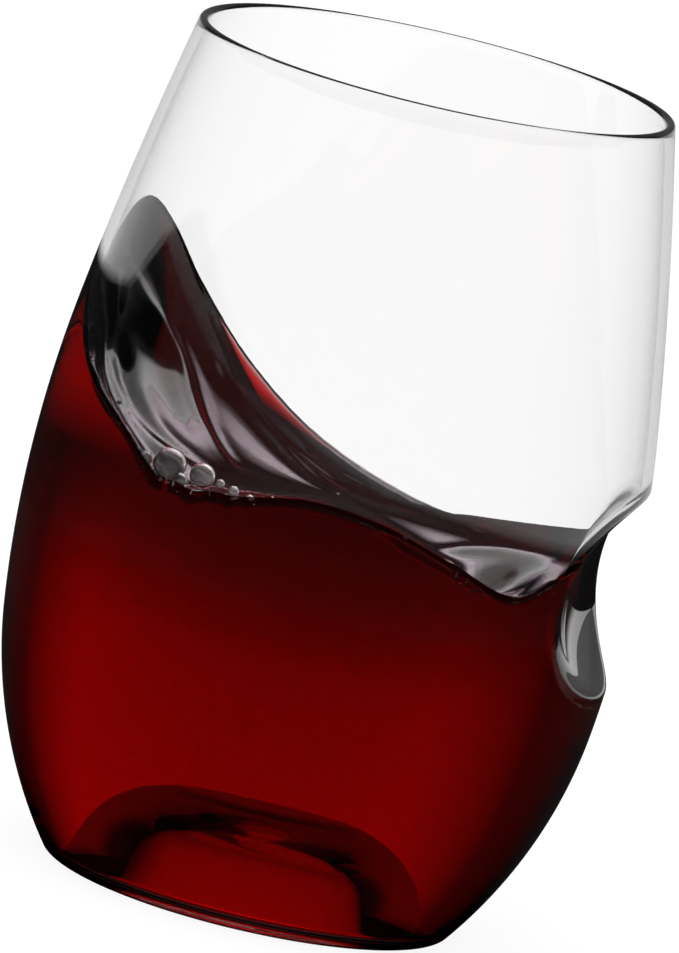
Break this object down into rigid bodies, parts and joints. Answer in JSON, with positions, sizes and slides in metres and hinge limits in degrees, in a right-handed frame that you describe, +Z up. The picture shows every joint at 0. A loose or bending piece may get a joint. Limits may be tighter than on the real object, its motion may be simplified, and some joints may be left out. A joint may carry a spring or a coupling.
{
  "type": "stemless wine glass",
  "caption": "Clear stemless wine glass with a thumb notch pressed into its side and a punt in its foot, holding red wine caught in mid-swirl.",
  "frame": {"origin": "centre of the foot ring, on the plane that the glass stands on", "axes": "+Z up along the bowl's axis to the rim, +X out through the middle of the thumb notch, +Y across the notch"},
  "size_m": [0.082, 0.0824, 0.114],
  "materials": {
    "clear_wall": "clear, polished, colourless",
    "red_wine": "clear deep red liquid with a glossy surface",
    "froth": "clear bubbles with bright rims"
  },
  "bodies": {
    "root": {"glass": "clear_wall", "wine": "red_wine", "bubbles": "froth"}
  },
  "joints": []
}
